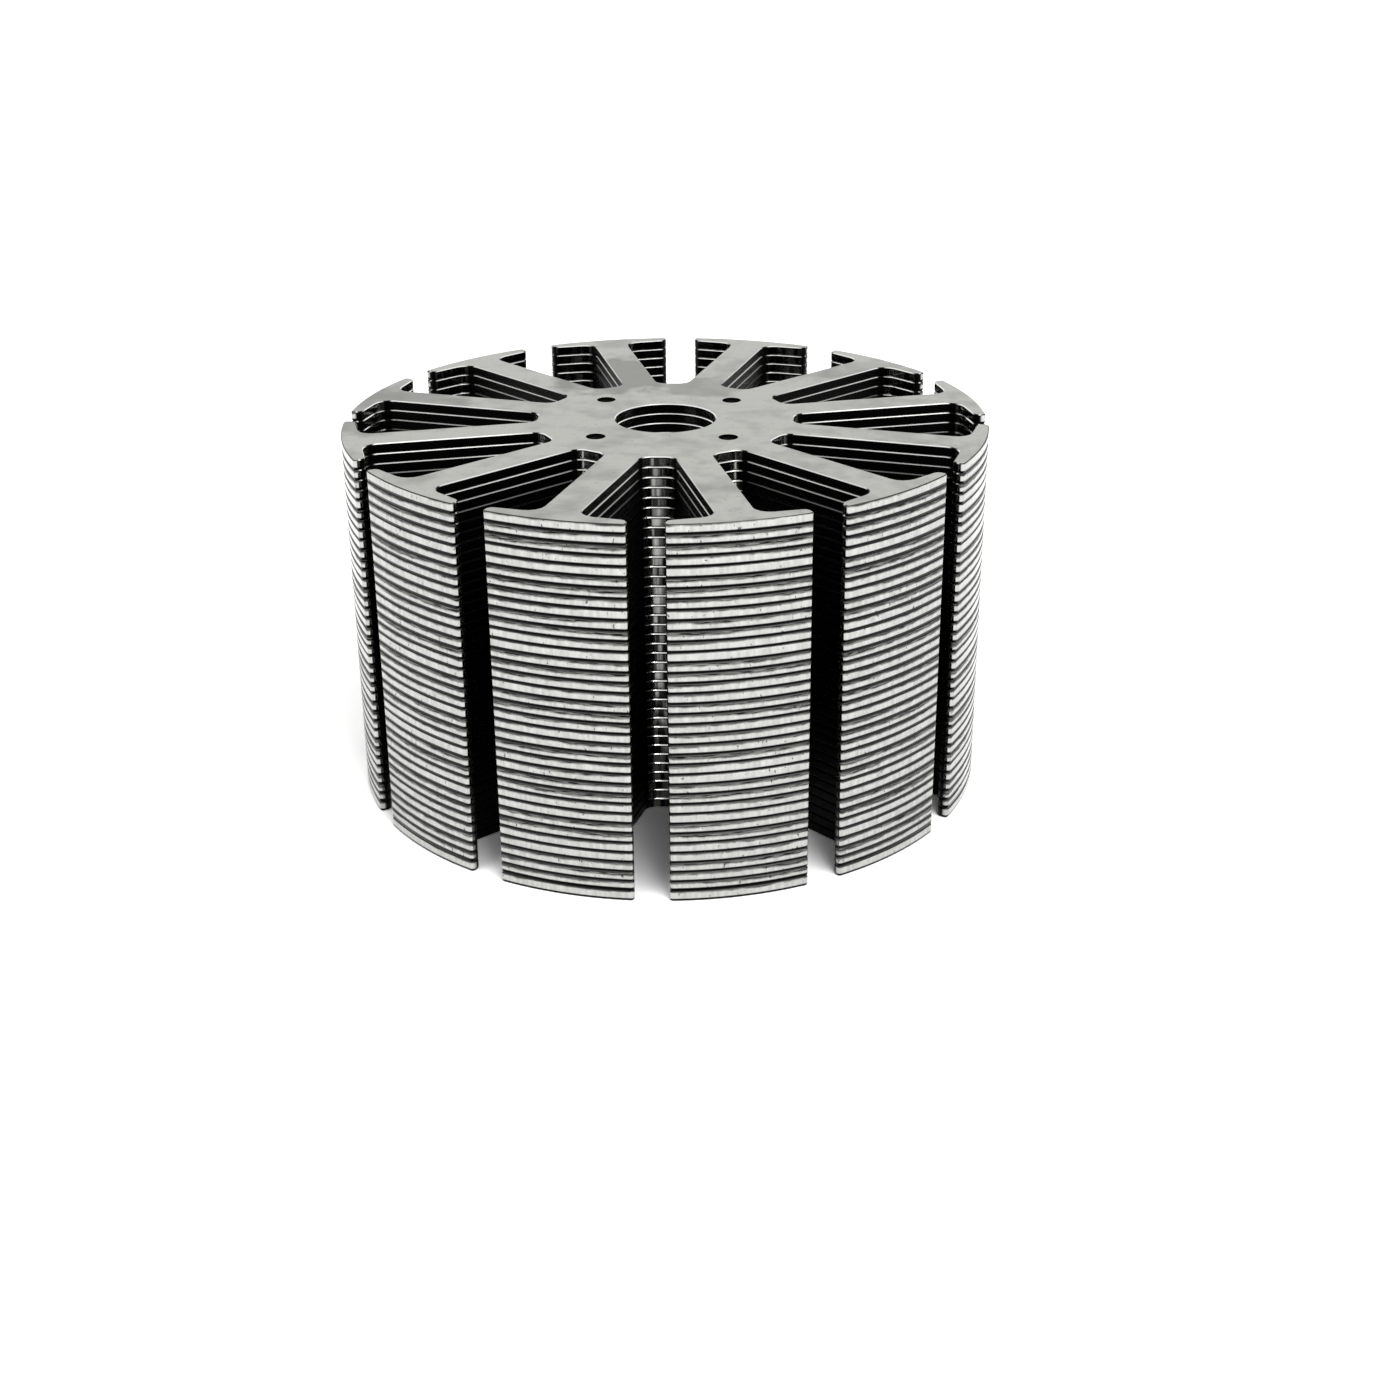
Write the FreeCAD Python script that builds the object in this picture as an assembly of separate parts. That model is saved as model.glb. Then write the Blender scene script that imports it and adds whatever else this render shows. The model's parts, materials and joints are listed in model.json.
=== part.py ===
import FreeCAD, Part

import math
import os

from FreeCAD import Placement, Rotation, Vector

# Stator lamination stack: thin electrical-steel sheets, all punched alike with T-shaped teeth,
# stacked face to face and held by round half-punched interlocks in the hub.
# Millimetres. +Z runs along the stack, and the origin is at the centre of its underside.

# The stack
SHEET_THICKNESS = 0.5
SHEET_COUNT = 37
SHEETS_PER_PACKET = 3  # sheets above the lowest one are joined in packets, so each stays light

# One sheet
OUTER_DIAMETER = 32.0  # over the tooth tips
BORE_DIAMETER = 5.0  # a shaft is pressed in here
TOOTH_COUNT = 12
TOOTH_WIDTH = 1.8
SLOT_FLOOR_RADIUS = 6.4  # from the axis to the flat floor of a slot
SHOE_THICKNESS = 0.9  # from the shoe's straight inner edge to the tip, on the tooth's centre line
SLOT_OPENING = 1.65  # between neighbouring shoes

# Interlocks: a round dimple pushed half-way through each sheet into the one below
INTERLOCK_COUNT = 4
INTERLOCK_CIRCLE_DIAMETER = 9.1
INTERLOCK_DIAMETER = 0.96
INTERLOCK_DEPTH = 0.25
INTERLOCK_CLEARANCE = 0.01  # all round a boss, and below it

TOOTH_PITCH = 360.0 / TOOTH_COUNT  # degrees
FIRST_TOOTH_ANGLE = TOOTH_PITCH / 2  # so that a slot is centred on +X
AXIS = Vector(0, 0, 1)


def turned(shape, angle):
    """A copy of the shape, turned about the stack's axis by an angle in degrees."""
    copy = shape.copy()
    copy.Placement = Placement(Vector(0, 0, 0), Rotation(AXIS, angle)).multiply(copy.Placement)
    return copy


def slot_punch(height):
    """The punch that opens the slot on +X, from its floor out through the rim."""
    half_pitch = math.radians(TOOTH_PITCH / 2)
    sine = math.sin(half_pitch)
    cosine = math.cos(half_pitch)
    half_tooth = TOOTH_WIDTH / 2
    half_opening = SLOT_OPENING / 2
    shoe_inner = OUTER_DIAMETER / 2 - SHOE_THICKNESS
    upper_side = [
        Vector(SLOT_FLOOR_RADIUS, (SLOT_FLOOR_RADIUS * sine - half_tooth) / cosine, 0),
        Vector(shoe_inner * cosine + half_tooth * sine, shoe_inner * sine - half_tooth * cosine, 0),
        Vector((shoe_inner - half_opening * sine) / cosine, half_opening, 0),
        Vector(OUTER_DIAMETER, half_opening, 0),
    ]
    lower_side = [Vector(point.x, -point.y, 0) for point in reversed(upper_side)]
    outline = Part.makePolygon(upper_side + lower_side + upper_side[:1])
    return Part.Face(outline).extrude(AXIS * height)


def interlock_pins(diameter, height, base):
    """Round pins at the interlocks, which lie on the centre lines of evenly spaced teeth."""
    place = Vector(INTERLOCK_CIRCLE_DIAMETER / 2, 0, base)
    pin = Part.makeCylinder(diameter / 2, height, place, AXIS)
    teeth = [index * TOOTH_COUNT // INTERLOCK_COUNT + 1 for index in range(INTERLOCK_COUNT)]
    return [turned(pin, FIRST_TOOTH_ANGLE + tooth * TOOTH_PITCH) for tooth in teeth]


def punched_sheets(count):
    """As many sheets as asked, joined and standing on the origin."""
    height = count * SHEET_THICKNESS
    blank = Part.makeCylinder(OUTER_DIAMETER / 2, height)
    bore = Part.makeCylinder(BORE_DIAMETER / 2, height)
    slot = slot_punch(height)
    slots = [turned(slot, index * TOOTH_PITCH) for index in range(TOOTH_COUNT)]
    return blank.cut([bore] + slots)


def lowest_sheet():
    """The first sheet of the stack, pierced right through at the interlocks."""
    return punched_sheets(1).cut(interlock_pins(INTERLOCK_DIAMETER, SHEET_THICKNESS, 0))


def packet(first, last):
    """Sheets first to last, counted from the bottom, at their place in the stack."""
    sheets = punched_sheets(last - first + 1)
    if first == 2:
        boss = INTERLOCK_DIAMETER - 2 * INTERLOCK_CLEARANCE
        sheets = sheets.fuse(interlock_pins(boss, INTERLOCK_DEPTH, -INTERLOCK_DEPTH))
    if last == SHEET_COUNT:
        dimple_floor = (last - first + 1) * SHEET_THICKNESS - INTERLOCK_DEPTH
        sheets = sheets.cut(interlock_pins(INTERLOCK_DIAMETER, INTERLOCK_DEPTH, dimple_floor))
    sheets.translate(AXIS * (first - 1) * SHEET_THICKNESS)
    return sheets


def export(name, shape):
    solids = shape.removeSplitter().Solids
    assert len(solids) == 1, name
    solids[0].exportStep("parts/%s.step" % name)


os.makedirs("parts", exist_ok=True)
export("lamination_01", lowest_sheet())
for first in range(2, SHEET_COUNT + 1, SHEETS_PER_PACKET):
    last = min(first + SHEETS_PER_PACKET - 1, SHEET_COUNT)
    export("laminations_%02d_%02d" % (first, last), packet(first, last))
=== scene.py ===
import json
import math

import bpy
from mathutils import Matrix, Vector


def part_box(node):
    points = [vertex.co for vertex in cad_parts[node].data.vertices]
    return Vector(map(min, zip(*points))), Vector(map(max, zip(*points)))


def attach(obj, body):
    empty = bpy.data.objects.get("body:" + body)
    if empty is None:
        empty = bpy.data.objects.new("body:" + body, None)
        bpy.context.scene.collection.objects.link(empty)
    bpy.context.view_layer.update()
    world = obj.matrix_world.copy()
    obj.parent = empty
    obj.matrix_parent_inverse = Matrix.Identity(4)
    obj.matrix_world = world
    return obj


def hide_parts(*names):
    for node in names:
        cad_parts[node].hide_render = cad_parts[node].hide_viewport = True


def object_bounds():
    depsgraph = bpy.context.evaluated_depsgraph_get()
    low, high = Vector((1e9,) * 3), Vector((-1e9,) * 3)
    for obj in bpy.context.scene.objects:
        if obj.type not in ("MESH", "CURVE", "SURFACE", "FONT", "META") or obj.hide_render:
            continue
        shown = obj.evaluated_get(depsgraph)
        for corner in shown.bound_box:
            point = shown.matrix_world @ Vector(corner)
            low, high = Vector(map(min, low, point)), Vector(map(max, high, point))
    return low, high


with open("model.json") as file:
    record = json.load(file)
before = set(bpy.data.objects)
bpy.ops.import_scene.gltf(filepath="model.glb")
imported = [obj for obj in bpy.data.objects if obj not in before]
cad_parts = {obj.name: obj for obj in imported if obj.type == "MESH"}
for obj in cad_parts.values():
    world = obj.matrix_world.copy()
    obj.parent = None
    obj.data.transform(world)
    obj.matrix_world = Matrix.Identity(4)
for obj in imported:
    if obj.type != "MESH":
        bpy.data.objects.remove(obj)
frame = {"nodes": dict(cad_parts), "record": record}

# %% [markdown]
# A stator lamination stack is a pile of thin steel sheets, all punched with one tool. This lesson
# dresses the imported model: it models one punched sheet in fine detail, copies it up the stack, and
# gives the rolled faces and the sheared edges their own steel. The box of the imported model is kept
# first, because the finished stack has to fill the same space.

MM = 0.001  # metres in a millimetre
cad_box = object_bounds()
nodes = sorted(frame["nodes"])
stack_height = (cad_box[1][2] - cad_box[0][2]) / MM
print("CAD nodes:", len(nodes), "height in mm:", round(stack_height, 3))

# %% [markdown]
# The sizes of one sheet are few, and every cut follows from them. They are in millimetres, as on a
# stamping drawing. The bore is read from the frame, where a shaft has to fit it.

# %% Sizes of a sheet
SHEET_COUNT = 37
TOOTH_COUNT = 12
OUTER_RADIUS = 16.0
TOOTH_WIDTH = 1.8
SLOT_FLOOR_RADIUS = 6.4
SHOE_THICKNESS = 0.9
SLOT_OPENING = 1.65
INTERLOCK_RADIUS = 0.48
INTERLOCK_CIRCLE_RADIUS = 4.55
INTERLOCK_DEPTH = 0.25
INTERLOCK_ANGLES = (45, 135, 225, 315)
sheet_thickness = stack_height / SHEET_COUNT
bore_mount = next(mount for mount in frame["record"]["mounts"] if mount["name"] == "bore")
bore_radius = bore_mount["dims"]["r_mm"]
half_pitch = math.radians(180 / TOOTH_COUNT)
print("sheet thickness in mm:", round(sheet_thickness, 4), "bore radius in mm:", bore_radius)

# %% [markdown]
# Everything is made with Blender's own operators, and they act on whatever is selected. A few small
# helpers keep that in hand: one clears the selection and picks a single object, two select its
# vertices or edges by a test on their place, and the last ones run an operator on what they chose.
# The frame's own nodes come in selected, so they are let go first.

# %% Helpers for selecting
CLOSE = 1e-3  # millimetres: how near a corner lies to the place that a formula gives


def pick(obj):
    """Make obj the only selected object and the active one."""
    bpy.ops.object.select_all(action="DESELECT")
    obj.select_set(True)
    bpy.context.view_layer.objects.active = obj
    return obj


def select_vertices(obj, test):
    """In object mode, select the vertices whose place passes the test, and nothing else."""
    mesh = obj.data
    for face in mesh.polygons:
        face.select = False
    for edge in mesh.edges:
        edge.select = False
    for vertex in mesh.vertices:
        vertex.select = test(vertex.co)


def select_edges(obj, test):
    """In object mode, select the edges whose two ends pass the test together."""
    mesh = obj.data
    for face in mesh.polygons:
        face.select = False
    for vertex in mesh.vertices:
        vertex.select = False
    chosen = 0
    for edge in mesh.edges:
        a, b = (mesh.vertices[index].co for index in edge.vertices)
        edge.select = test(a, b)
        chosen += edge.select
    return chosen


def in_edit_mode(obj, mode, *steps):
    """Run steps on obj in edit mode, where mode is the kind of element that is selected."""
    pick(obj)
    bpy.ops.object.mode_set(mode="EDIT")
    bpy.ops.mesh.select_mode(type=mode)
    for step in steps:
        step()
    bpy.ops.object.mode_set(mode="OBJECT")


def bevel_edges(obj, width, steps):
    """Bevel the selected edges: each loses a strip this wide on both sides."""
    in_edit_mode(obj, "EDGE", lambda: bpy.ops.mesh.bevel(
        offset=width, segments=steps, affect="EDGES", offset_type="OFFSET"))


def apply_place(obj):
    """Move an object's place, turn and scale into its mesh."""
    pick(obj)
    bpy.ops.object.transform_apply(location=True, rotation=True, scale=True)
    return obj


bpy.ops.object.select_all(action="DESELECT")
print("objects still selected:", len(bpy.context.selected_objects))

# %% [markdown]
# On the real sheet a slot is knocked out by a punch. The slots could be drawn as one outline and
# filled, but that needs many points by hand. So the tool itself is made: a cube is drawn out to the
# slot's shape, narrow at the hub, wide under the tooth shoes, and narrow again where it leaves the
# rim. Its upright edges are rounded, because no punch has a knife edge and those radii are what the
# light catches in the tooth corners. A boolean then does the punching.

# %% Model the slot punch
FLOOR_FILLET = 0.6
SHOE_ROOT_FILLET = 0.75
SHOE_TIP_FILLET = 0.32
PUNCH_REACH = 2.0  # how far a punch stands out of the sheet, above and below
PAST_RIM = 1.0  # how far a slot punch stands out of the rim
ROUND_STEPS = 4

shoe_inner = OUTER_RADIUS - SHOE_THICKNESS
floor_half = (SLOT_FLOOR_RADIUS * math.sin(half_pitch) - TOOTH_WIDTH / 2) / math.cos(half_pitch)
root_x = shoe_inner * math.cos(half_pitch) + TOOTH_WIDTH / 2 * math.sin(half_pitch)
root_half = shoe_inner * math.sin(half_pitch) - TOOTH_WIDTH / 2 * math.cos(half_pitch)
tip_half = SLOT_OPENING / 2
tip_x = (shoe_inner - tip_half * math.sin(half_pitch)) / math.cos(half_pitch)


def upright(a, b):
    """Whether the edge from a to b stands upright."""
    return (a.xy - b.xy).length < CLOSE


def upright_near(x, y):
    """A test for the upright edges that stand over (x, y) or (x, -y)."""
    def test(a, b):
        return upright(a, b) and abs(a.x - x) < CLOSE and abs(abs(a.y) - y) < CLOSE
    return test


def round_upright(obj, x, y, radius, turn):
    """Round the upright edges over (x, y) and (x, -y), where the outline turns by turn radians."""
    select_edges(obj, upright_near(x, y))
    bevel_edges(obj, radius * math.tan(turn / 2), ROUND_STEPS)


def make_slot_punch():
    """The punch for the slot on +X: a cube, narrowed at the hub and drawn out twice at the rim."""
    punch_height = sheet_thickness + 2 * PUNCH_REACH
    middle_x = (SLOT_FLOOR_RADIUS + root_x) / 2
    bpy.ops.mesh.primitive_cube_add(size=1, location=(middle_x, 0, sheet_thickness / 2))
    punch = bpy.context.object
    punch.scale = (root_x - SLOT_FLOOR_RADIUS, 2 * root_half, punch_height)
    apply_place(punch)
    select_vertices(punch, lambda place: place.x < middle_x)
    in_edit_mode(
        punch, "VERT",
        lambda: bpy.ops.transform.resize(value=(1, floor_half / root_half, 1)))
    select_vertices(punch, lambda place: place.x > middle_x)
    in_edit_mode(
        punch, "VERT",
        lambda: bpy.ops.mesh.extrude_region_move(
            TRANSFORM_OT_translate={"value": (tip_x - root_x, 0, 0)}),
        lambda: bpy.ops.transform.resize(value=(1, tip_half / root_half, 1)),
        lambda: bpy.ops.mesh.extrude_region_move(
            TRANSFORM_OT_translate={"value": (OUTER_RADIUS + PAST_RIM - tip_x, 0, 0)}))
    quarter = math.pi / 2
    round_upright(punch, SLOT_FLOOR_RADIUS, floor_half, FLOOR_FILLET, quarter - half_pitch)
    round_upright(punch, root_x, root_half, SHOE_ROOT_FILLET, quarter)
    round_upright(punch, tip_x, tip_half, SHOE_TIP_FILLET, quarter - half_pitch)
    return punch


slot_punch = make_slot_punch()
print("slot punch: faces", len(slot_punch.data.polygons), "size in mm", slot_punch.dimensions[:])

# %% [markdown]
# The tool set carries twelve of these punches and a round one for the bore. They don't touch one
# another, so they are joined into one object and cut in a single boolean, as one press stroke.

# %% Set up the tool and punch the blank
RIM_STEPS = 288  # sides of the blank: 24 to a tooth pitch, so that every tooth gets the same ones
BORE_STEPS = 72


def copy_of(obj):
    """A copy of obj with its own mesh."""
    twin = obj.copy()
    twin.data = obj.data.copy()
    bpy.context.collection.objects.link(twin)
    return twin


def round_punch(radius, steps, x, angle, low, high):
    """A round punch at a distance x from the axis, turned by angle degrees, from low to high."""
    place = Matrix.Rotation(math.radians(angle), 3, "Z") @ Vector((x, 0, (low + high) / 2))
    bpy.ops.mesh.primitive_cylinder_add(
        vertices=steps, radius=radius, depth=high - low, location=place)
    return apply_place(bpy.context.object)


def join(objects):
    """Make one object of several."""
    bpy.ops.object.select_all(action="DESELECT")
    for obj in objects:
        obj.select_set(True)
    bpy.context.view_layer.objects.active = objects[0]
    bpy.ops.object.join()
    return bpy.context.object


def boolean(obj, tool, operation):
    """Cut or join obj with a tool, which is used up."""
    pick(obj)
    cut = obj.modifiers.new("tool", "BOOLEAN")
    cut.object = tool
    cut.operation = operation
    cut.solver = "EXACT"
    bpy.ops.object.modifier_apply(modifier=cut.name)
    bpy.data.objects.remove(tool)
    return obj


def make_punched_blank():
    """A round blank, cut by twelve slot punches and the bore punch in one stroke."""
    punches = [slot_punch]
    for index in range(1, TOOTH_COUNT):
        twin = copy_of(slot_punch)
        twin.rotation_euler.z = index * 2 * half_pitch
        punches.append(apply_place(twin))
    low, high = -PUNCH_REACH, sheet_thickness + PUNCH_REACH
    punches.append(round_punch(bore_radius, BORE_STEPS, 0, 0, low, high))
    tool = join(punches)
    bpy.ops.object.select_all(action="DESELECT")
    bpy.ops.mesh.primitive_cylinder_add(
        vertices=RIM_STEPS, radius=OUTER_RADIUS, depth=sheet_thickness,
        location=(0, 0, sheet_thickness / 2))
    blank = apply_place(bpy.context.object)
    return boolean(blank, tool, "DIFFERENCE")


sheet = make_punched_blank()
print("punched sheet: vertices", len(sheet.data.vertices))

# %% [markdown]
# Shearing leaves an edge that isn't square. Where the punch goes in, the steel is drawn down into a
# round die roll, and where it breaks out a fine burr stays. The die roll makes the groove between
# two sheets, whose dark line the edge material also paints as painted shade, and the burr is the
# thin
# line on top, so both are modelled: the outer corners of each shoe are rounded first, then every
# lower edge by a wide soft bevel and every upper edge by a fine one. A bevel modifier would do all
# three at one width, so it is done in edit mode instead.

# %% Round the shoe corners and the sheared edges
SHOE_CORNER_RADIUS = 0.16
DIE_ROLL = 0.09
BURR = 0.045
SOFT_STEPS = 3
RIM_SLACK = 0.02  # the blank is a polygon, so its corners may lie this far inside the rim
SLOT_SLACK = math.radians(0.05)


def shoe_corner(a, b):
    """Whether an edge stands upright where a slot leaves the rim."""
    if not upright(a, b) or a.xy.length < OUTER_RADIUS - RIM_SLACK:
        return False
    angle = math.atan2(a.y, a.x)
    from_slot = abs((angle + half_pitch) % (2 * half_pitch) - half_pitch)
    return from_slot < math.asin(tip_half / OUTER_RADIUS) + SLOT_SLACK


def flat_edges_at(height):
    """A test for the edges that lie flat at a height."""
    def test(a, b):
        return abs(a.z - height) < CLOSE and abs(b.z - height) < CLOSE
    return test


corner_count = select_edges(sheet, shoe_corner)
bevel_edges(sheet, SHOE_CORNER_RADIUS, SOFT_STEPS)
lower_count = select_edges(sheet, flat_edges_at(0))
bevel_edges(sheet, DIE_ROLL, SOFT_STEPS)
upper_count = select_edges(sheet, flat_edges_at(sheet_thickness))
bevel_edges(sheet, BURR, 1)
print("shoe corners", corner_count, "lower edges", lower_count, "upper edges", upper_count)
print("sheet triangles:", sum(len(face.vertices) - 2 for face in sheet.data.polygons))

# %% [markdown]
# The face keeps the flat, dull finish of the rolled strip, and the cut edge is raw steel. They
# could be two objects, but a sheet is one piece, so they are two materials on one mesh. Each
# polygon is given its slot by its normal: what looks straight up or down is face, and the rest is
# edge. The floor of a dimple is flat too, but the polygons inside an interlock's circle are edge as
# well, so that they take the edge's near-black painted shade, which stands for the shade in the
# dimple. The walls are then smoothed by angle, so that the fillets read as round while the faces
# stay flat.

# %% Split the sheet into faces and edges, and round its shading
FACE_SLOT, EDGE_SLOT = 0, 1
FLAT_NORMAL = 0.99  # the least upward or downward part of a flat polygon's normal
SMOOTH_ANGLE = math.radians(32)


def inside_interlock(centre):
    """Whether a point in metres lies within the circle of one of the four pins."""
    for angle in map(math.radians, INTERLOCK_ANGLES):
        x = INTERLOCK_CIRCLE_RADIUS * math.cos(angle) * MM
        y = INTERLOCK_CIRCLE_RADIUS * math.sin(angle) * MM
        if math.hypot(centre.x - x, centre.y - y) < INTERLOCK_RADIUS * MM:
            return True
    return False


def mark_surfaces(obj):
    """Give each polygon of a placed sheet its material slot, and smooth its walls."""
    for face in obj.data.polygons:
        # Dimple floors inside an interlock get the edge material, whose near-black painted shade
        # stands for the shade in the dimple.
        rolled = abs(face.normal.z) > FLAT_NORMAL and not inside_interlock(face.center)
        face.material_index = FACE_SLOT if rolled else EDGE_SLOT
    pick(obj)
    bpy.ops.object.shade_smooth_by_angle(angle=SMOOTH_ANGLE)


face_count = sum(abs(face.normal.z) > FLAT_NORMAL for face in sheet.data.polygons)
print("flat faces:", face_count, "of", len(sheet.data.polygons))

# %% [markdown]
# The sheets hold together by interlocks: a round pin pushes a dimple half-way into each sheet, and
# the boss under it seats in the dimple below. Only the ends of the stack show them. The top sheet
# has four open dimples, the lowest one is pierced right through, and the second sheet's bosses fill
# the upper half of those holes. The pins are rounded at their lower rim, like the real ones. The
# sheets between are plain, because nobody can see into them.

# %% Model the interlocks
INTERLOCK_STEPS = 32
BOSS_CLEARANCE = 0.01
PAST_FACE = 1.0  # how far a pin stands out of the sheet where it enters or leaves
DIMPLE_ROUND = 0.12
PIERCED_ROUND = 0.1  # on a pin's lower rim, which stands clear below a pierced sheet
BOSS_ROUND = 0.05


def interlock_tool(radius, low, high, lower_round):
    """Four round pins from low to high, their lower rims rounded by lower_round."""
    pins = []
    for angle in INTERLOCK_ANGLES:
        bpy.ops.object.select_all(action="DESELECT")
        pin = round_punch(radius, INTERLOCK_STEPS, INTERLOCK_CIRCLE_RADIUS, angle, low, high)
        select_edges(pin, flat_edges_at(low))
        bevel_edges(pin, lower_round, SOFT_STEPS)
        pins.append(pin)
    return join(pins)


dimple_floor = sheet_thickness - INTERLOCK_DEPTH
above_sheet = sheet_thickness + PAST_FACE
top_sheet = boolean(
    copy_of(sheet),
    interlock_tool(INTERLOCK_RADIUS, dimple_floor, above_sheet, DIMPLE_ROUND), "DIFFERENCE")
lowest_sheet = boolean(
    copy_of(sheet),
    interlock_tool(INTERLOCK_RADIUS, -PAST_FACE, above_sheet, PIERCED_ROUND), "DIFFERENCE")
boss_radius = INTERLOCK_RADIUS - BOSS_CLEARANCE
second_sheet = boolean(
    copy_of(sheet),
    interlock_tool(boss_radius, -INTERLOCK_DEPTH, dimple_floor, BOSS_ROUND), "UNION")
for name, shape in (("top", top_sheet), ("lowest", lowest_sheet), ("second", second_sheet)):
    print(name, "sheet: vertices", len(shape.data.vertices))

# %% [markdown]
# A number in a node tree should read like a line in a recipe, so one small function adds any node,
# sets what it is told, and links what it is given. Colours are written as the sRGB hex values that
# a designer picks, and one function turns them to the linear values that the shader wants. Each
# material gets its place in millimetres, so that every pattern can be given its real size.

# %% Helpers for materials
def linear(hex_colour):
    """The linear RGBA of an sRGB hex colour such as "8a8b87"."""
    channels = [int(hex_colour[start:start + 2], 16) / 255 for start in (0, 2, 4)]
    return [c / 12.92 if c <= 0.04045 else ((c + 0.055) / 1.055) ** 2.4 for c in channels] + [1]


def add(tree, kind, inputs=(), **settings):
    """Add a shader node. Inputs are a list for its sockets in use, in order, or a dict by name.

    Each input is a value, a socket, or a node, which stands for its first output in use.
    """
    node = tree.nodes.new("ShaderNode" + kind)
    for name, value in settings.items():
        setattr(node, name, value)
    if isinstance(inputs, dict):
        filled = [(node.inputs[name], value) for name, value in inputs.items()]
    else:
        filled = list(zip([socket for socket in node.inputs if socket.enabled], inputs))
    for socket, value in filled:
        if isinstance(value, bpy.types.Node):
            value = next(output for output in value.outputs if output.enabled)
        if isinstance(value, bpy.types.NodeSocket):
            tree.links.new(value, socket)
        else:
            socket.default_value = value
    return node


def new_material(name):
    """A node material, its tree, its Object coordinates in millimetres and its surface input."""
    material = bpy.data.materials.new(name)
    material.use_nodes = True
    tree = material.node_tree
    tree.nodes.clear()
    metres = add(tree, "TexCoord").outputs["Object"]
    place = add(tree, "VectorMath", [metres, (1 / MM, 1 / MM, 1 / MM)], operation="MULTIPLY")
    output = add(tree, "OutputMaterial")
    return material, tree, place, output.inputs["Surface"]


def flattened(tree, vector):
    """A vector without its height."""
    return add(tree, "VectorMath", [vector, (1, 1, 0)], operation="MULTIPLY")


def grain(tree, place, size, detail):
    """A ragged pattern in patches of this size in millimetres, mostly from 0.3 to 0.7.

    More detail adds finer and finer raggedness to each patch.
    """
    spaced = add(tree, "Mapping", {"Vector": place, "Scale": [1 / length for length in size]})
    return add(tree, "TexNoise", {"Vector": spaced, "Scale": 1, "Detail": detail})


def steel_surface(tree, surface, base, roughness, strength, depth, relief):
    """Finish a steel of this colour and roughness, with a relief this many millimetres deep."""
    bump = add(tree, "Bump", {"Strength": strength, "Distance": depth * MM, "Height": relief})
    shader = add(tree, "BsdfPrincipled", {
        "Base Color": base, "Roughness": roughness, "Metallic": 1.0, "Normal": bump})
    tree.links.new(shader.outputs["BSDF"], surface)


print("middle grey in linear light:", round(linear("808080")[0], 3))

# %% [markdown]
# The face is cold-rolled, fully processed electrical steel: a grey satin metal under a very thin
# insulating coat. The rolls leave fine lines along the strip, a ninth of a millimetre apart here so
# that they show. Handling leaves cloudy smudges, small specks and a few darker stains where oil
# dried. They could be painted on a picture, but noise of the right size needs no file and has no
# seam. It changes the tone and the roughness a little, and none of it is deep enough to model.

# %% Material: rolled electrical steel
CLOUD_SIZE = (6.25, 6.25, 6.25)
SMUDGE_SIZE = (1.25, 1.25, 1.25)
SPECK_SIZE = (0.25, 0.25, 0.25)
ROLLING_LINE_SIZE = (20 / 7, 1 / 9, 1)  # coarser than on real strip, where they would not show
CLOUD_SHARE, SMUDGE_SHARE = 0.55, 0.45
SMUDGED_GREY, CLEAN_GREY = linear("8f908a"), linear("b8b9b3")
LINE_GREY, SPECK_GREY, STAIN_GREY = linear("a8a9a3"), linear("7c7d78"), linear("50514d")
MOST_LINE, MOST_SPECK = 0.3, 0.5  # how far a line and a speck hide the grey below
CLEAN_ROUGHNESS, SMUDGED_ROUGHNESS = 0.44, 0.34  # a smudge fills the fine pits, so it's smoother
# The stains: x and y of the middle and the radius, in millimetres, and how dark from 0 to 1.
FACE_STAINS = (
    (-3.0, 8.0, 3.5, 0.5),
    (1.6, 5.6, 1.9, 0.34),
    (-14.2, 1.0, 4.2, 0.32),
    (10.5, 8.5, 2.6, 0.2),
)
# A stain is full and ends at these radii, once its ragged fringe of about half a radius is added.
STAIN_FULL, STAIN_END = 1.35, 1.6


def stain(tree, place, ragged, x, y, radius):
    """1 within a ragged patch round (x, y) in millimetres, and 0 outside it."""
    distance = add(tree, "VectorMath", [flattened(tree, place), (x, y, 0)], operation="DISTANCE")
    fringe = add(tree, "Math", [ragged, radius], operation="MULTIPLY")
    distance = add(tree, "Math", [distance, fringe], operation="ADD")
    return add(tree, "MapRange", [distance, radius * STAIN_FULL, radius * STAIN_END, 1, 0])


def face_tone(tree, cloud, smudge):
    """How clean the face is, from 0 to 1: broad clouds with smaller smudges in them."""
    clouds = add(tree, "Math", [cloud, CLOUD_SHARE], operation="MULTIPLY")
    smudges = add(tree, "Math", [smudge, SMUDGE_SHARE], operation="MULTIPLY")
    both = add(tree, "Math", [clouds, smudges], operation="ADD")
    return add(tree, "MapRange", [both, 0.36, 0.52, 0, 1])


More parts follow.
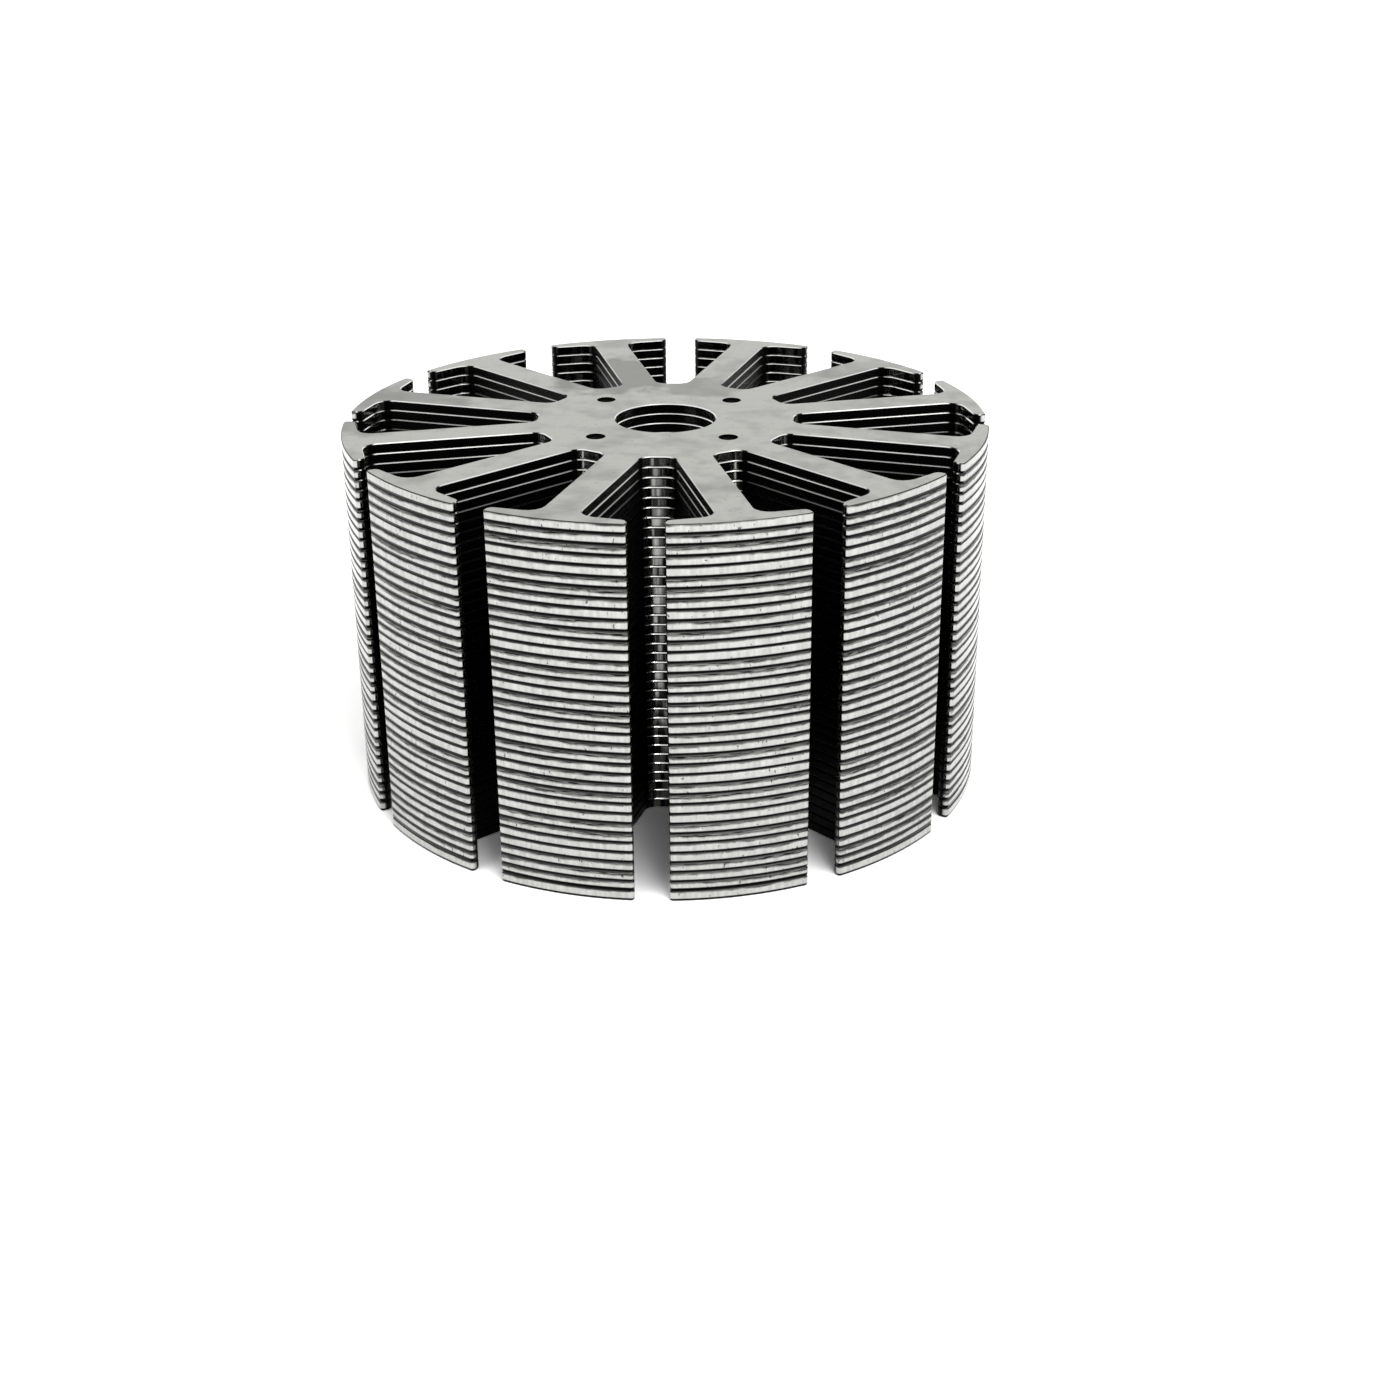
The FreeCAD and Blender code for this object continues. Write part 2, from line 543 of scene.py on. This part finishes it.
def rolled_steel():
    """The flat faces of a sheet."""
    material, tree, place, surface = new_material("rolled_electrical_steel")
    smudge = grain(tree, place, SMUDGE_SIZE, 5)
    tone = face_tone(tree, grain(tree, place, CLOUD_SIZE, 4), smudge)
    base = add(tree, "Mix", [tone, SMUDGED_GREY, CLEAN_GREY], data_type="RGBA")
    lines = grain(tree, place, ROLLING_LINE_SIZE, 3)
    share = add(tree, "MapRange", [lines, 0.35, 0.7, 0, MOST_LINE])
    base = add(tree, "Mix", [share, base, LINE_GREY], data_type="RGBA")
    # Only the peaks of this grain show, so the specks are few and far apart.
    share = add(tree, "MapRange", [grain(tree, place, SPECK_SIZE, 3), 0.62, 0.72, 0, MOST_SPECK])
    base = add(tree, "Mix", [share, base, SPECK_GREY], data_type="RGBA")
    for x, y, radius, darkness in FACE_STAINS:
        patch = stain(tree, place, smudge, x, y, radius)
        share = add(tree, "Math", [patch, darkness], operation="MULTIPLY")
        base = add(tree, "Mix", [share, base, STAIN_GREY], data_type="RGBA")
    roughness = add(tree, "MapRange", [tone, 0, 1, SMUDGED_ROUGHNESS, CLEAN_ROUGHNESS])
    steel_surface(tree, surface, base, roughness, strength=0.12, depth=0.01, relief=lines)
    return material


face_material = rolled_steel()
print("material:", face_material.name, "nodes:", len(face_material.node_tree.nodes))

# %% [markdown]
# The edge is sheared steel, and it has bands that run along the cut. They are a fraction of a
# millimetre high, so they are worked out from the height and not modelled: a level runs from 0 to 1
# through each sheet. The burnish, wiped bright by the punch, takes a different share of each sheet,
# because each is laid down a quarter turn from the one before, and its upper limit runs out at a
# slant along a tooth.

# %% Bands of a sheared edge
BURNISH_LIMITS = (0.88, 0.8, 0.64, 0.7)  # shares of the thickness, in turn up the stack
SLANT_LENGTH, SLANT = 50 / 11, 0.13  # millimetres along the edge, and shares of the thickness
WAVER_LENGTH, WAVER = 5 / 9, 0.06
SHEET_STRIDE = 7.3  # millimetres from sheet to sheet in the noise, so that no two look alike


def sheet_levels(tree, place):
    """The sheet's number from 0 at the bottom, and the level in it from 0 to 1."""
    height = add(tree, "SeparateXYZ", [place]).outputs["Z"]
    sheets_up = add(tree, "Math", [height, sheet_thickness], operation="DIVIDE")
    index = add(tree, "Math", [sheets_up], operation="FLOOR")
    return index, add(tree, "Math", [sheets_up, index], operation="SUBTRACT")


def place_along(tree, place, index):
    """A place that follows the edge of one sheet, far from those of its neighbours."""
    own_height = add(tree, "Math", [index, SHEET_STRIDE], operation="MULTIPLY")
    own_place = add(tree, "CombineXYZ", {"Z": own_height})
    return add(tree, "VectorMath", [flattened(tree, place), own_place], operation="ADD")


def own_limit(tree, index):
    """The middle level of a sheet's burnish limit, out of the four that take turns."""
    count = len(BURNISH_LIMITS)
    middle = add(tree, "Math", [index, 0.5], operation="ADD")
    turn = add(tree, "Math", [middle, count], operation="MODULO")
    steps = add(tree, "ValToRGB", [add(tree, "Math", [turn, count], operation="DIVIDE")])
    ramp = steps.color_ramp
    ramp.interpolation = "CONSTANT"
    ramp.elements.remove(ramp.elements[-1])
    for number, share in enumerate(BURNISH_LIMITS):
        step = ramp.elements.new(number / count) if number else ramp.elements[0]
        step.position = number / count
        step.color = (share, share, share, 1)
    return steps


def burnish_limit(tree, index, along):
    """The level where the burnish ends and the fracture begins."""
    slant = grain(tree, along, (SLANT_LENGTH,) * 3, 1)
    slant = add(tree, "MapRange", [slant, 0.3, 0.7, -SLANT, SLANT])
    waver = grain(tree, along, (WAVER_LENGTH,) * 3, 3)
    waver = add(tree, "MapRange", [waver, 0.3, 0.7, -WAVER, WAVER])
    limit = add(tree, "Math", [own_limit(tree, index), slant], operation="ADD")
    return add(tree, "Math", [limit, waver], operation="ADD")


print("burnish ends at, in mm:", [round(share * sheet_thickness, 2) for share in BURNISH_LIMITS])

# %% [markdown]
# On the tooth tips all the bands show. From below: the die roll, where the steel bent down before
# it was cut, painted near-black as the shade in the groove between sheets; the burnish; the
# fracture, grey and torn in streaks; and the burr. The painted shade over the lowest sheet is wider,
# for the wider gap where that sheet sits a little looser than the rest. A few dark nicks are where
# the tips have knocked against something.

# %% Colour of the tooth tips
SCRATCH_SIZE = (1 / 5, 1 / 5, 5 / 6)  # upright, as the punch went
STREAK_SIZE = (5 / 8, 5 / 8, 1 / 22)  # along the cut
NICK_SIZE = (1 / 7, 1 / 7, 1 / 4)
# The first and last of these levels bound the painted shade in the groove at the foot of each sheet.
ROLL_END, WIDER_GAP_SHADE, ROLL_FADE = 0.24, 0.12, 0.09  # levels in a sheet, as is the next one
BURR_START, BURR_FADE = 0.9, 0.03
SCRATCH_GREY, BURNISH_GREY = linear("9b9c98"), linear("b2b2af")
TEAR_BLACK, FRACTURE_GREY = linear("0b0b0b"), linear("71726e")
NICK_BLACK, GAP_SHADE_BLACK, BURR_GREY = linear("1c1c1c"), linear("050505"), linear("3c3c3a")
MOST_NICK = 0.8  # how far a nick hides the band that it is in


def painted_gap_shade(tree, index, level):
    """1 on the painted shade in the groove at a sheet's lower edge, wider over the lowest sheet."""
    on_second = add(tree, "Math", [index, 1, 0.5], operation="COMPARE")
    wider = add(tree, "Math", [on_second, WIDER_GAP_SHADE], operation="MULTIPLY")
    end = add(tree, "Math", [wider, ROLL_END], operation="ADD")
    above = add(tree, "Math", [level, end], operation="SUBTRACT")
    return add(tree, "MapRange", [above, 0, ROLL_FADE, 1, 0])


def tip_colour(tree, place, torn, scratches, streaks, rolled, burr):
    """The bands of a tooth tip, laid over one another from the burnish to the burr."""
    share = add(tree, "MapRange", [scratches, 0.3, 0.7, 0, 1])
    bright = add(tree, "Mix", [share, SCRATCH_GREY, BURNISH_GREY], data_type="RGBA")
    share = add(tree, "MapRange", [streaks, 0.4, 0.62, 0, 1])
    grey = add(tree, "Mix", [share, TEAR_BLACK, FRACTURE_GREY], data_type="RGBA")
    colour = add(tree, "Mix", [torn, bright, grey], data_type="RGBA")
    # Only the highest peaks of this grain are nicks.
    nicks = add(tree, "MapRange", [grain(tree, place, NICK_SIZE, 2), 0.68, 0.72, 0, MOST_NICK])
    colour = add(tree, "Mix", [nicks, colour, NICK_BLACK], data_type="RGBA")
    # The die roll band is painted near-black as the shade in the groove between sheets.
    colour = add(tree, "Mix", [rolled, colour, GAP_SHADE_BLACK], data_type="RGBA")
    return add(tree, "Mix", [burr, colour, BURR_GREY], data_type="RGBA")


print("die roll's dark line ends at, in mm:", round(ROLL_END * sheet_thickness, 3))

# %% [markdown]
# In the slots and the bore the steel is painted nearly black: painted shade for these deep, narrow
# hollows. Walls that lie across a radius, such as a slot's floor, get a less deep painted shade with
# a painted reflection in patches, and the burr on their upper edges gets a painted highlight. On the
# sides of the teeth the burr gets a painted highlight near the top of the stack only, where the
# light comes in. Each kind of wall could have its own material, but the change from one to the next
# is soft, so they are told apart in one material by normal and radius.

# %% Colour of the walls in the slots and the bore: painted shade, reflection and highlights
ACROSS_FROM, ACROSS_FULL = 0.6, 0.85  # how squarely a wall faces along a radius, as are the next
SIDE_FULL, SIDE_END = 0.16, 0.3
OFF_PIN_FROM, OFF_PIN_FULL = 0.6, 0.8  # millimetres from the interlocks' circle
TIP_ROUND_FROM, TIP_ROUND_FULL = 0.28, 0.36  # millimetres out from a shoe's inner side
TOP_START, TOP_FULL = SHEET_COUNT - 4.5, SHEET_COUNT - 2  # sheets from the bottom
MOST_SIDE = 0.7  # how bright a painted highlight on a burr on a tooth's side is, next to one across a radius
REFLECTION_PATCH_SIZE = (5 / 13,) * 3
BORE_END, SLOT_START = 3, 6  # radii in millimetres: no painted reflection in the bore
UPPER_START, UPPER_FULL, MOST_UPPER = 0.74, 0.86, 0.8  # the darker upper band of each sheet on a wall across a radius
# The two darkest greys are painted shade for the hollows: the slots, the bore and the dimples.
SHADE_BLACK, FLOOR_SHADE_BLACK, UPPER_BAND_BLACK = linear("0d0d0d"), linear("202020"), linear("0c0c0c")
# The mid grey is a painted reflection on the walls across a radius, and the near white a painted
# highlight on the burrs.
REFLECTION_GREY, HIGHLIGHT_WHITE = linear("8c8d89"), linear("f0f0ed")


def wall_facing(tree, place):
    """How squarely a wall faces along a radius: 1 on a slot's floor, near 0 on a tooth's side."""
    normal = add(tree, "TexCoord").outputs["Normal"]
    level = [add(tree, "VectorMath", [flattened(tree, vector)], operation="NORMALIZE")
             for vector in (place, normal)]
    return add(tree, "Math", [add(tree, "VectorMath", level, operation="DOT_PRODUCT")],
               operation="ABSOLUTE")


def walls_across(tree, facing, radius, off_pins):
    """1 on walls that lie across a radius, apart from the round tips of the shoes."""
    across = add(tree, "MapRange", [facing, ACROSS_FROM, ACROSS_FULL, 0, 1])
    across = add(tree, "Math", [across, off_pins], operation="MULTIPLY")
    start, full = shoe_inner + TIP_ROUND_FROM, shoe_inner + TIP_ROUND_FULL
    off_tips = add(tree, "MapRange", [radius, start, full, 1, 0])
    return add(tree, "Math", [across, off_tips], operation="MULTIPLY")


def sides_near_top(tree, facing, index, off_pins):
    """Up to MOST_SIDE on the sides of the teeth, in the top few sheets."""
    # The burrs on these sides get a painted highlight.
    side = add(tree, "MapRange", [facing, SIDE_FULL, SIDE_END, 1, 0])
    side = add(tree, "Math", [side, off_pins], operation="MULTIPLY")
    near_top = add(tree, "MapRange", [index, TOP_START, TOP_FULL, 0, MOST_SIDE])
    return add(tree, "Math", [side, near_top], operation="MULTIPLY")


def wall_colour(tree, level, along, radius, burr, across, side):
    """Painted shade, with a painted reflection across a radius and a painted highlight on the burr.
    """
    # A painted reflection in patches on the walls across a radius in the slots, none in the bore.
    painted_reflection = add(tree, "MapRange", [grain(tree, along, REFLECTION_PATCH_SIZE, 3), 0.42, 0.58, 0, 1])
    in_slot = add(tree, "MapRange", [radius, BORE_END, SLOT_START, 0, 1])
    painted_reflection = add(tree, "Math", [painted_reflection, in_slot], operation="MULTIPLY")
    slot_floor = add(tree, "Mix", [painted_reflection, FLOOR_SHADE_BLACK, REFLECTION_GREY], data_type="RGBA")
    upper = add(tree, "MapRange", [level, UPPER_START, UPPER_FULL, 0, MOST_UPPER])
    slot_floor = add(tree, "Mix", [upper, slot_floor, UPPER_BAND_BLACK], data_type="RGBA")
    # Walls that don't lie across a radius get the near-black painted shade.
    painted_shade = add(tree, "Mix", [across, SHADE_BLACK, slot_floor], data_type="RGBA")
    most = add(tree, "Math", [across, side], operation="MAXIMUM")
    # The burr gets a painted highlight across a radius, and on the tooth sides near the top.
    painted_highlight = add(tree, "Math", [burr, most], operation="MULTIPLY")
    return add(tree, "Mix", [painted_highlight, painted_shade, HIGHLIGHT_WHITE], data_type="RGBA")


print("burrs on tooth sides start to shine at sheet", math.ceil(TOP_START) + 1)

# %% [markdown]
# The two colours meet just inside the rim. They could be two materials, but the shoe's rounded
# corner belongs to both, and a blend by radius has no hard line on it. Burnish and the walls across
# a radius are smooth, the fracture and the walls in the near-black painted shade are dull, and
# scratches and tears give the tips a relief too fine to model.

# %% Material: sheared steel edge
RIM_START, RIM_FULL = OUTER_RADIUS - 0.3, OUTER_RADIUS - 0.2
TEAR_START, TEAR_FULL = -0.1, 0.08  # levels from the burnish limit
SMOOTH_ROUGHNESS, DULL_ROUGHNESS = 0.18, 0.5
SCRATCH_DEPTH = 0.3  # next to a tear's depth of 1


def sheared_steel():
    """The cut edges of a sheet."""
    material, tree, place, surface = new_material("sheared_electrical_steel")
    index, level = sheet_levels(tree, place)
    along = place_along(tree, place, index)
    past_limit = add(tree, "Math", [level, burnish_limit(tree, index, along)],
                     operation="SUBTRACT")
    torn = add(tree, "MapRange", [past_limit, TEAR_START, TEAR_FULL, 0, 1])
    scratches = grain(tree, place, SCRATCH_SIZE, 3)
    streaks = grain(tree, place, STREAK_SIZE, 4)
    burr = add(tree, "MapRange", [level, BURR_START, BURR_START + BURR_FADE, 0, 1])
    # rolled here is the band of painted shade in the groove under each sheet.
    rolled = painted_gap_shade(tree, index, level)
    tips = tip_colour(tree, place, torn, scratches, streaks, rolled, burr)

    radius = add(tree, "VectorMath", [flattened(tree, place)], operation="LENGTH")
    facing = wall_facing(tree, place)
    from_pins = add(tree, "Math", [radius, INTERLOCK_CIRCLE_RADIUS], operation="SUBTRACT")
    from_pins = add(tree, "Math", [from_pins], operation="ABSOLUTE")
    off_pins = add(tree, "MapRange", [from_pins, OFF_PIN_FROM, OFF_PIN_FULL, 0, 1])
    across = walls_across(tree, facing, radius, off_pins)
    side = sides_near_top(tree, facing, index, off_pins)
    walls = wall_colour(tree, level, along, radius, burr, across, side)

    on_rim = add(tree, "MapRange", [radius, RIM_START, RIM_FULL, 0, 1])
    base = add(tree, "Mix", [on_rim, walls, tips], data_type="RGBA")
    # The near-black painted shade lies off the rim and off the walls across a radius; there the
    # steel is dull.
    off_shade_black = add(tree, "Math", [on_rim, across], operation="MAXIMUM")
    in_shade_black = add(tree, "Math", [1, off_shade_black], operation="SUBTRACT")
    torn_rim = add(tree, "Math", [torn, on_rim], operation="MULTIPLY")
    dull = add(tree, "Math", [torn_rim, in_shade_black], operation="MAXIMUM")
    roughness = add(tree, "MapRange", [dull, 0, 1, SMOOTH_ROUGHNESS, DULL_ROUGHNESS])
    scratched = add(tree, "Math", [scratches, SCRATCH_DEPTH], operation="MULTIPLY")
    tears = add(tree, "Math", [torn, streaks], operation="MULTIPLY")
    relief = add(tree, "Math", [scratched, tears], operation="ADD")
    relief = add(tree, "Math", [relief, on_rim], operation="MULTIPLY")
    steel_surface(tree, surface, base, roughness, strength=0.3, depth=0.02, relief=relief)
    return material


edge_material = sheared_steel()
print("material:", edge_material.name, "nodes:", len(edge_material.node_tree.nodes))

# %% [markdown]
# The stack is built as on the press: each sheet is a copy with its own mesh, at its own height. The
# sheets replace the plain CAD solids that stand where they do, so each asks the frame which node
# holds its middle. Meshes go from millimetres to the frame's metres at the same time.

# %% Stack the sheets
def node_at(height):
    """The CAD node whose box holds this height, in metres."""
    for node in nodes:
        low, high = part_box(node)
        if max(low[2], cad_box[0][2]) < height < high[2]:
            return node
    raise ValueError("no node at %.5f" % height)


def place_sheet(shape, number):
    """Copy a sheet to its place, counted from 1 at the bottom, and hand it to the frame."""
    low = (number - 1) * sheet_thickness  # in millimetres above the floor
    piece = copy_of(shape)
    piece.name = piece.data.name = "sheet_%02d" % number
    piece.data.transform(Matrix.Scale(MM, 4) @ Matrix.Translation((0, 0, low)))
    piece.data.materials.clear()
    piece.data.materials.append(face_material)
    piece.data.materials.append(edge_material)
    mark_surfaces(piece)
    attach(piece, "root")
    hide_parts(node_at((low + sheet_thickness / 2) * MM + cad_box[0][2]))


special = {1: lowest_sheet, 2: second_sheet, SHEET_COUNT: top_sheet}
for number in range(1, SHEET_COUNT + 1):
    place_sheet(special.get(number, sheet), number)
for shape in (sheet, lowest_sheet, second_sheet, top_sheet):
    bpy.data.objects.remove(shape)
print("sheets placed:", SHEET_COUNT)

# %% [markdown]
# The stage is a plain white floor that keeps the stack's soft shadow, and a white world. Both are
# pure white to the camera and in the steel's reflections, and a little less as light on the stack,
# so that a colour shows about as it is written. Brighter lamps would also give a white floor, but
# they would wash out the steel.

# %% Floor and world
FLOOR_SIZE = 4.0
WHITE_LIFT = 1.35  # what makes the lit floor pure white to the camera, and leaves its shadow
FLOOR_WHITE = 0.8  # the floor's true albedo, for the light that it throws on the stack
WORLD_LEVEL = 0.72  # the world's strength as a light


def seen_or_mirrored(tree):
    """1 for rays from the camera and for those that metal or glass sends on, else 0."""
    rays = add(tree, "LightPath").outputs
    mirrored = add(tree, "Math", [rays["Is Glossy Ray"], rays["Is Transmission Ray"]],
                   operation="MAXIMUM")
    return add(tree, "Math", [rays["Is Camera Ray"], mirrored], operation="MAXIMUM")


def white_floor():
    """A dull white floor material."""
    material, tree, _, surface = new_material("white_floor")
    level = add(tree, "MapRange", [seen_or_mirrored(tree), 0, 1, FLOOR_WHITE, WHITE_LIFT])
    colour = add(tree, "CombineColor", [level, level, level])
    tree.links.new(add(tree, "BsdfDiffuse", {"Color": colour}).outputs["BSDF"], surface)
    return material


def white_world():
    """A white world, with its own strength as a light."""
    world = bpy.data.worlds.new("studio")
    world.use_nodes = True
    tree = world.node_tree
    tree.nodes.clear()
    strength = add(tree, "MapRange", [seen_or_mirrored(tree), 0, 1, WORLD_LEVEL, 1.0])
    background = add(tree, "Background", {"Color": linear("ffffff"), "Strength": strength})
    output = add(tree, "OutputWorld")
    tree.links.new(background.outputs["Background"], output.inputs["Surface"])
    bpy.context.scene.world = world


bpy.ops.object.select_all(action="DESELECT")
bpy.ops.mesh.primitive_plane_add(size=FLOOR_SIZE, location=(0, 0, cad_box[0][2]))
floor = bpy.context.object
floor.name = "floor"
floor.data.materials.append(white_floor())
white_world()
print("floor:", floor.data.materials[0].name, "at height", floor.location.z)

# %% [markdown]
# Steel shows what stands round it, so small hard lamps would only give it spots. Two square lamps,
# each more than half as wide as it is far away, give soft light: the key from the front right and
# from high up, the fill from the left and lower. Both are weak, so that no colour clips to white.

# %% Lamps
def direction(azimuth, elevation):
    """The unit vector at an azimuth from -Y towards +X and an elevation, in degrees."""
    turn, rise = math.radians(azimuth), math.radians(elevation)
    level = math.cos(rise)
    return Vector((math.sin(turn) * level, -math.cos(turn) * level, math.sin(rise)))


def area_lamp(name, azimuth, elevation, distance, size, power):
    """A soft square lamp that faces the stack, from a distance in metres."""
    bpy.ops.object.light_add(type="AREA")
    lamp = bpy.context.object
    lamp.name = name
    away = direction(azimuth, elevation)
    lamp.location = away * distance
    lamp.rotation_euler = away.to_track_quat("Z", "Y").to_euler()
    lamp.data.size = size
    lamp.data.energy = power
    print(name, "in watts:", power)


area_lamp("key_lamp", azimuth=35, elevation=50, distance=0.35, size=0.2, power=0.9)
area_lamp("fill_lamp", azimuth=-50, elevation=30, distance=0.40, size=0.3, power=0.5)

# %% [markdown]
# The camera looks down at the stack from a little above, with a mild tele lens. Its aim is a point
# on the lens axis and not the stack's centre, so the stack sits left of the middle of the frame.

# %% Camera
CAMERA_AZIMUTH = 2.388  # degrees about +Z, from straight in front on -Y
CAMERA_ELEVATION = 24.22
CAMERA_ROLL = -0.409
CAMERA_DISTANCE = 108.9
CAMERA_AIM = (1.62, 0.07, 3.06)
FOCAL_LENGTH = 52.9
NEAR_CLIP = 0.005  # metres


def place_camera():
    """Put the camera at its distance from the aim, turned to it and rolled."""
    camera = bpy.data.objects.new("camera", bpy.data.cameras.new("camera"))
    bpy.context.collection.objects.link(camera)
    away = direction(CAMERA_AZIMUTH, CAMERA_ELEVATION)
    camera.location = (Vector(CAMERA_AIM) + away * CAMERA_DISTANCE) * MM
    roll = Matrix.Rotation(math.radians(CAMERA_ROLL), 3, "Z")
    camera.rotation_euler = (away.to_track_quat("Z", "Y").to_matrix() @ roll).to_euler()
    camera.data.lens = FOCAL_LENGTH
    camera.data.clip_start = NEAR_CLIP
    bpy.context.scene.camera = camera
    print("camera in mm:", [round(value / MM, 1) for value in camera.location])


place_camera()
bpy.context.scene.view_settings.view_transform = "Standard"
